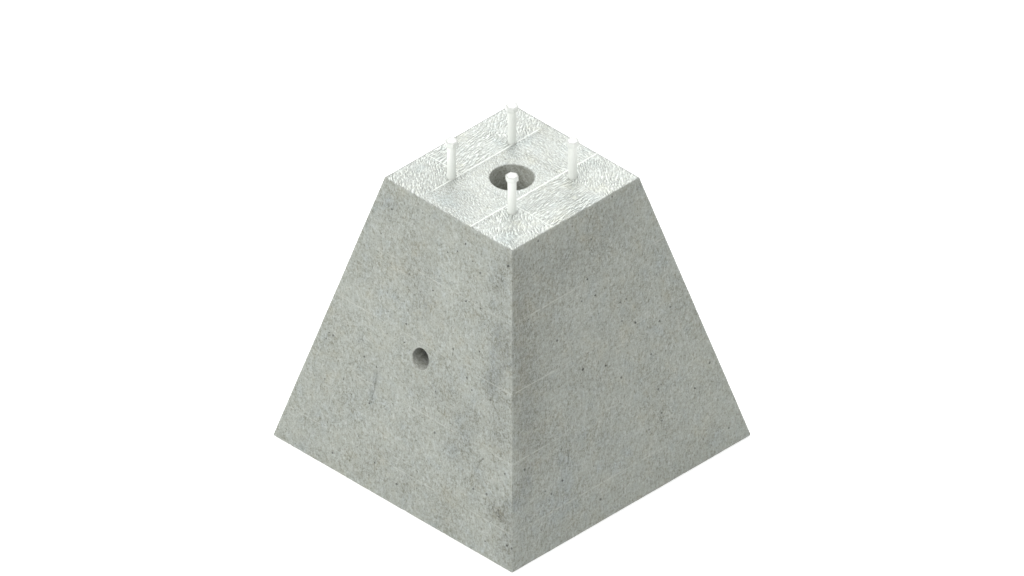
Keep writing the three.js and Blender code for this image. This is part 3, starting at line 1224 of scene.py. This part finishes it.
def concrete_material(look, block):
    material, wiring, shader, position = new_material(look.name)
    mark = {
        name: wiring.add("ShaderNodeAttribute", {"attribute_name": name}).outputs["Fac"]
        for name in ("hollow", "shade", "warmth", "coarse", "arris", "fin", "along", "across", "strength")
    }

    tint = wiring.group(
        shared_group("Cloudy tint", build_cloudy_tint), Position=position, Base=tuple(look.base),
        Warm=tuple(look.warm), Cool=tuple(look.cool), Warmth=mark["warmth"],
        Patch_Size=look.patch, Depth=look.cloud)
    coarseness = wiring.math("MULTIPLY_ADD", mark["coarse"], 0.4, 0.85)
    sand = wiring.group(
        shared_group("Sand grain", build_sand_grain), Position=position,
        Grain_Size=look.grain_size, Coarseness=coarseness)
    pinholes = wiring.group(
        shared_group("Pinholes", build_pinholes), Position=position, Share=look.pinholes)["Mask"]
    squeezed = wiring.vector("MULTIPLY", position, (1.0, 1.0, 0.6))  # draws the specks out upwards
    specks = wiring.group(
        shared_group("Pinholes", build_pinholes), Position=squeezed, Spacing=0.012,
        Share=wiring.math("MULTIPLY", coarseness, 0.45))["Mask"]

    color = wiring.scale(tint["Color"], wiring.math("ADD", 1.0, mark["shade"]))
    darkest = (*(1 - channel * look.grain for channel in GRAIN_DARKEST), 1)
    brightest = (*(1 + channel * look.grain for channel in GRAIN_BRIGHTEST), 1)
    # the grain's lit and shaded edges are painted light and shade, besides the grains' own tone
    color = wiring.blend(1.0, color, wiring.blend(sand["Grain"], darkest, brightest), "MULTIPLY")
    height = wiring.math("MULTIPLY", sand["Height"], look.grain_relief)
    if look.streaks:
        streaks = wiring.group(shared_group("Streaks", build_streaks), Position=position)["Mask"]
        stained = wiring.math("MULTIPLY_ADD", mark["coarse"], 0.9, 0.5)
        share = wiring.math("MULTIPLY", streaks, wiring.math("MULTIPLY", stained, look.streaks))
        color = wiring.blend(share, color, scaled(look.cool, 0.8))
    if look.lining:
        lines = wiring.group(
            shared_group("Lining lines", build_lining_lines), Position=position,
            Pitch=block.lining_square * block.height / slope_length(block))["Mask"]
        color = wiring.blend(wiring.math("MULTIPLY", lines, look.lining), color, scaled(look.base, 1.35))
        height = wiring.math("MULTIPLY_ADD", lines, LINING_RIDGE, height)
    if look.wear:
        ragged = wiring.noise(position, 0.006, detail=3.0, roughness=0.6)
        edge = wiring.math("MULTIPLY", wiring.ramp(mark["arris"], 0.55, 1.0), wiring.ramp(ragged, 0.4, 0.6))
        color = wiring.blend(wiring.math("MULTIPLY", edge, look.wear), color, scaled(look.base, 1.25))
    if look.crest:
        strokes = wiring.group(
            shared_group("Strokes", build_strokes), Along=mark["along"], Across=mark["across"])
        # painted highlight on the strokes' crests and painted shade in their lee
        painted_emboss = wiring.math("MULTIPLY", strokes["Lift"], mark["strength"])
        color = wiring.scale(color, wiring.math("MULTIPLY_ADD", painted_emboss, 2 * look.crest, 1.0))
        ridge = wiring.math("MULTIPLY", strokes["Height"], mark["strength"])
        height = wiring.math("MULTIPLY_ADD", ridge, STROKE_RIDGE, height)
        # the fins are painted paler: a painted highlight along their ridges
        color = wiring.blend(wiring.ramp(mark["fin"], 0.2, 0.7), color, scaled(look.base, 1.45))
        # painted shade along the top's edges and the duct's rim
        color = wiring.scale(color, wiring.ramp(mark["arris"], 0.88, 1.0, 1.0, 0.76))
    grain_pits = wiring.math("MULTIPLY", sand["Pits"], look.pits)
    pits = wiring.math("MAXIMUM", grain_pits, wiring.math("MULTIPLY", specks, look.specks))
    # painted shade: pores, cracks and pinholes are painted dark inside
    holes = wiring.math("MAXIMUM", pinholes, wiring.ramp(mark["hollow"], 0.1 * MM, 0.8 * MM))
    color = wiring.blend(pits, color, wiring.blend(1.0, color, PIT_TINT, "MULTIPLY"))
    color = wiring.blend(wiring.math("MULTIPLY", holes, 0.8), color, scaled(look.base, 0.33))
    height = wiring.math("MULTIPLY_ADD", pinholes, -PINHOLE_DEPTH, height)

    wiring.feed(shader["Base Color"], color)
    rough = wiring.ramp(sand["Grain"], 0.0, 1.0, look.roughness - 0.05, look.roughness + 0.05)
    wiring.feed(shader["Roughness"], rough)
    feed_bump(wiring, shader, height)
    shader["Specular IOR Level"].default_value = 0.4
    return material


def concrete_materials(block):
    """The materials of the block, in the order of its surface kinds."""
    top = tuple(block.pale_top_with_painted_light)
    duct = tuple(block.painted_lit_duct_grey)
    looks = (
        ConcreteLook(
            "formed concrete", block.concrete, block.warm_tint, block.cool_tint,
            streaks=0.5, lining=0.8, wear=0.35),
        ConcreteLook(
            "tooled concrete", top, (top[0], top[1] * 0.98, top[2] * 0.92, 1),
            (top[0] * 0.95, top[1] * 0.98, top[2], 1), grain=0.20, grain_size=0.0065,
            grain_relief=0.0016, pits=0.0, specks=0.0, pinholes=0.05, crest=0.31, roughness=0.3),
        ConcreteLook(
            "duct concrete", duct, scaled(duct, 1.08), scaled(duct, 0.9), pinholes=0.2, roughness=0.92),
        ConcreteLook(
            "ground concrete", scaled(block.concrete, 0.9), block.warm_tint, block.cool_tint,
            cloud=0.1, grain_relief=0.004, pinholes=0.6, roughness=0.93),
    )
    return [concrete_material(look, block) for look in looks]


def bolt_material(bolt, top_level):
    """White coated steel, dusty just above the concrete at top_level."""
    material, wiring, shader, position = new_material("white coated steel")
    tint = wiring.group(
        shared_group("Cloudy tint", build_cloudy_tint), Position=position, Base=tuple(bolt.white),
        Warm=(bolt.white[0], bolt.white[1] * 0.995, bolt.white[2] * 0.985, 1),
        Cool=scaled(bolt.white, 0.985), Cloud_Size=0.015, Patch_Size=0.008, Depth=0.008)
    speckle = wiring.group(
        shared_group("Sand grain", build_sand_grain), Position=position, Grain_Size=0.0012)
    height = wiring.add("ShaderNodeSeparateXYZ", Vector=position).outputs["Z"]
    ragged = wiring.math("MULTIPLY", wiring.noise(position, 0.006, detail=3.0, roughness=0.6), 0.012)
    above = wiring.math("SUBTRACT", wiring.math("SUBTRACT", height, top_level), ragged)
    foot = wiring.ramp(above, -0.006, 0.002, 0.2, 0.0)
    color = wiring.blend(foot, tint["Color"], tuple(bolt.grime))
    # painted shade on the bolt's head, darkest round the rim of its end
    dull = wiring.add("ShaderNodeAttribute", {"attribute_name": "dull"}).outputs["Fac"]
    color = wiring.scale(color, wiring.math("SUBTRACT", 1.0, dull))
    wiring.feed(shader["Base Color"], color)
    wiring.feed(shader["Roughness"], wiring.ramp(speckle["Grain"], 0.0, 1.0, 0.38, 0.5))
    feed_bump(wiring, shader, wiring.math("MULTIPLY", speckle["Height"], 0.12 * MM))
    return material


# The anchor bolts' surface

BOLT_SIDES = 96
HEX_SHARPNESS = 140  # higher is sharper
FACING = np.arange(6) * math.pi / 3  # directions of the head's flats, two of them along X
EDGE_BREAK = 0.4 * MM  # small bevel on the head's edges
NECK_FILLET = 1.2 * MM
FILLET_STEPS = 5
BURIED_LEVELS, PROUD_LEVELS, HEAD_LEVELS = 12, 40, 6  # rows of points along the shank and the head
HEAD_END_SHARES = (0.9, 0.8, 0.72, 0.4)  # rings on the head's end, as shares of its width
RIM = (0.72, 0.79)  # where the painted dark rim of the head's end starts and is full, as shares of its flats
PAINTED_HEAD_SHADE, PAINTED_END_SHADE, PAINTED_RIM_SHADE = 0.09, 0.11, 0.27  # how much darker the head is painted, then its end, then that rim: painted shade


def hexagon_apothem(across_corners):
    """Distance from a hexagon's middle to its flats."""
    return across_corners / 2 * math.cos(math.pi / 6)


def hexagon_radius(angles, across_corners):
    """Distance from the middle to the side of a hexagon with slightly eased corners, two of them along Y."""
    facing = np.cos(angles[:, None] - FACING)
    eased = (np.maximum(facing, 0) ** HEX_SHARPNESS).sum(axis=1) ** (1 / HEX_SHARPNESS)
    return hexagon_apothem(across_corners) / eased


def bolt_rings(bolt, low, high, concrete_level):
    """The rings of a bolt's surface from its buried end to the middle of its head, as (radii, level)."""
    angles = 2 * math.pi * np.arange(BOLT_SIDES) / BOLT_SIDES
    shank = np.full(BOLT_SIDES, bolt.shank_diameter / 2)
    hexagon = hexagon_radius(angles, bolt.head_across_corners)
    under = high - bolt.head_height

    rings = [(shank * share, low) for share in (0.5, 0.9)]
    rings += [(shank, level) for level in np.linspace(low + MM, concrete_level - 5 * MM, BURIED_LEVELS)]
    rings += [(shank, level) for level in np.linspace(concrete_level, under - NECK_FILLET, PROUD_LEVELS)]
    for step in range(1, FILLET_STEPS + 1):
        turn = step / FILLET_STEPS * math.pi / 2
        out, down = 1 - math.cos(turn), 1 - math.sin(turn)
        rings.append((shank + NECK_FILLET * out, under - NECK_FILLET * down))
    neck = bolt.shank_diameter / 2 + NECK_FILLET
    rings.append((neck + (hexagon - EDGE_BREAK - neck) * 0.5, under))
    rings.append((hexagon - EDGE_BREAK, under))
    rings.append((hexagon, under + EDGE_BREAK))
    rings += [(hexagon, level) for level in np.linspace(under + 2 * MM, high - EDGE_BREAK, HEAD_LEVELS)]
    rings.append((hexagon - EDGE_BREAK, high))
    rings += [((hexagon - EDGE_BREAK) * share, high) for share in HEAD_END_SHARES]
    return [
        np.column_stack((radii * np.cos(angles), radii * np.sin(angles), np.full(BOLT_SIDES, level)))
        for radii, level in rings
    ]


def bolt_mesh(bolt, place, concrete_level):
    """A bolt's closed surface, slightly uneven where it shows."""
    low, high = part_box("anchor_bolt_" + place)
    rings = bolt_rings(bolt, low.z, high.z, concrete_level)
    middle = np.array(((low.x + high.x) / 2, (low.y + high.y) / 2, 0))
    skin = Skin()
    skin.add_tube(rings, 0)
    fan = [(i, (i + 1) % BOLT_SIDES, BOLT_SIDES) for i in range(BOLT_SIDES)]
    skin.add(np.concatenate((rings[0], [(0, 0, low.z)])), fan, 0)
    skin.add(np.concatenate((rings[-1], [(0, 0, high.z)])), fan, 0)
    mesh = skin.mesh("bolt_" + place)
    points = mesh_points(mesh) + middle
    showing = smooth_step(concrete_level, concrete_level + 10 * MM, points[:, 2])
    outward = (points - middle) * (1, 1, 0)
    outward /= np.maximum(np.linalg.norm(outward, axis=1, keepdims=True), TINY)
    uneven = 0.06 * MM * field(points, 7 * MM) + 0.03 * MM * field(points, 2.5 * MM, 3)
    points += outward * (showing * uneven)[:, None]
    mesh.vertices.foreach_set("co", points.ravel())
    # painted shade on the head, its end and the end's rim
    reach = ((points - middle)[:, :2] @ np.array((np.cos(FACING), np.sin(FACING)))).max(axis=1)
    rim = smooth_step(*RIM, reach / hexagon_apothem(bolt.head_across_corners))
    on_head = points[:, 2] > high.z - bolt.head_height - EDGE_BREAK / 2
    on_end = points[:, 2] > high.z - EDGE_BREAK / 2
    dull = PAINTED_HEAD_SHADE * on_head + on_end * (PAINTED_END_SHADE + PAINTED_RIM_SHADE * rim)
    mesh.attributes.new("dull", "FLOAT", "POINT").data.foreach_set("value", dull)
    mesh.update()
    return mesh


# Operators

CAMERA_DISTANCE = 4.0
LIGHT_DISTANCE = 8.0
LIGHT_AIM_HEIGHT = 0.4
# Each light's side, and the degrees it stands from the -Y side towards +X and above the horizon
SOFT_LIGHTS = {
    "front light": (4.6, -12, 40),
    "top light": (4.6, 225, 80),
    "back light": (3.7, 225, 33),
}
FLOOR_REACH = 40.0
FLOOR_LEVEL = -0.5 * MM  # just below the block, so that the two don't flicker


def link_piece(name, mesh, materials):
    piece = bpy.data.objects.new(name, mesh)
    bpy.context.scene.collection.objects.link(piece)
    for material in materials:
        mesh.materials.append(material)
    return piece


class COLUMNBASE_OT_block(bpy.types.Operator):
    """Build the concrete block with its worn edges, tooled top, pores and ducts"""

    bl_idname = "columnbase.block"
    bl_label = "Concrete block"

    def execute(self, context):
        block = context.scene.column_base.block
        piece = link_piece("concrete_block_cast", block_mesh(block), concrete_materials(block))
        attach(piece, "root")
        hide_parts("concrete_block")
        return {"FINISHED"}


class COLUMNBASE_OT_bolts(bpy.types.Operator):
    """Build the four anchor bolts"""

    bl_idname = "columnbase.bolts"
    bl_label = "Anchor bolts"

    def execute(self, context):
        settings = context.scene.column_base
        coating = bolt_material(settings.bolt, settings.block.height)
        for place in BOLT_PLACES:
            mesh = bolt_mesh(settings.bolt, place, settings.block.height)
            piece = link_piece("bolt_" + place, mesh, [coating])
            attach(piece, "root")
            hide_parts("anchor_bolt_" + place)
        return {"FINISHED"}


def towards(azimuth, elevation):
    """The direction at an angle from the -Y side towards +X, and an angle above the horizon."""
    return Vector((
        math.sin(azimuth) * math.cos(elevation),
        -math.cos(azimuth) * math.cos(elevation),
        math.sin(elevation),
    ))


def link_aimed(name, data, aim_height, direction, distance):
    """Adds a camera or a light that looks at the block's axis from a direction."""
    aimed = bpy.data.objects.new(name, data)
    bpy.context.scene.collection.objects.link(aimed)
    aimed.location = Vector((0, 0, aim_height)) + distance * direction
    aimed.rotation_euler = direction.to_track_quat("Z", "Y").to_euler()
    return aimed


def add_camera(stage):
    data = bpy.data.cameras.new("camera")
    data.type = "ORTHO"
    data.ortho_scale = stage.view_width
    direction = towards(stage.view_azimuth, stage.view_elevation)
    camera = link_aimed("camera", data, stage.aim_height, direction, CAMERA_DISTANCE)
    bpy.context.scene.camera = camera


def add_soft_light(name, power):
    """A square soft light that points at the block."""
    size, azimuth, elevation = SOFT_LIGHTS[name]
    data = bpy.data.lights.new(name, "AREA")
    data.energy = power
    data.size = size
    direction = towards(math.radians(azimuth), math.radians(elevation))
    lamp = link_aimed(name, data, LIGHT_AIM_HEIGHT, direction, LIGHT_DISTANCE)
    lamp.visible_camera = False


def add_floor(stage):
    mesh = bpy.data.meshes.new("floor")
    corners = square(2 * FLOOR_REACH)
    mesh.from_pydata([(x, y, FLOOR_LEVEL) for x, y in corners], [], [(0, 1, 2, 3)])
    material = bpy.data.materials.new("pale floor")
    material.use_nodes = True
    shader = material.node_tree.nodes["Principled BSDF"]
    shader.inputs["Base Color"].default_value = tuple(stage.floor)
    shader.inputs["Roughness"].default_value = 0.9
    shader.inputs["Specular IOR Level"].default_value = 0.1
    shader.inputs["Emission Color"].default_value = (1, 1, 1, 1)
    shader.inputs["Emission Strength"].default_value = stage.floor_glow
    floor = link_piece("floor", mesh, [material])


class COLUMNBASE_OT_stage(bpy.types.Operator):
    """Set up the camera, the pale floor and the soft studio light"""

    bl_idname = "columnbase.stage"
    bl_label = "Stage"

    def execute(self, context):
        stage = context.scene.column_base.stage
        add_camera(stage)
        add_floor(stage)
        world = bpy.data.worlds.new("room")
        world.use_nodes = True
        background = world.node_tree.nodes["Background"]
        background.inputs["Color"].default_value = (1, 1, 1, 1)
        background.inputs["Strength"].default_value = stage.room_light
        context.scene.world = world
        add_soft_light("front light", stage.front_light)
        add_soft_light("top light", stage.top_light)
        add_soft_light("back light", stage.back_light)
        context.scene.view_settings.view_transform = "Standard"
        return {"FINISHED"}


class COLUMNBASE_PT_panel(bpy.types.Panel):
    """Lists the steps and settings in the 3D view's sidebar"""

    bl_idname = "COLUMNBASE_PT_panel"
    bl_label = "Column base"
    bl_space_type = "VIEW_3D"
    bl_region_type = "UI"
    bl_category = "Column base"

    def draw(self, context):
        settings = context.scene.column_base
        for operator, group in (
            (COLUMNBASE_OT_block, settings.block),
            (COLUMNBASE_OT_bolts, settings.bolt),
            (COLUMNBASE_OT_stage, settings.stage),
        ):
            box = self.layout.box()
            box.operator(operator.bl_idname)
            for name in group.bl_rna.properties.keys():
                if name not in ("rna_type", "name"):
                    box.prop(group, name)


CLASSES = (
    BlockSettings,
    BoltSettings,
    StageSettings,
    ColumnBaseSettings,
    COLUMNBASE_OT_block,
    COLUMNBASE_OT_bolts,
    COLUMNBASE_OT_stage,
    COLUMNBASE_PT_panel,
)


def register():
    for cls in CLASSES:
        bpy.utils.register_class(cls)
    bpy.types.Scene.column_base = PointerProperty(type=ColumnBaseSettings)


def unregister():
    del bpy.types.Scene.column_base
    for cls in reversed(CLASSES):
        bpy.utils.unregister_class(cls)


def main():
    register()
    bpy.ops.columnbase.stage()
    bpy.ops.columnbase.block()
    bpy.ops.columnbase.bolts()


if __name__ == "__main__":
    main()
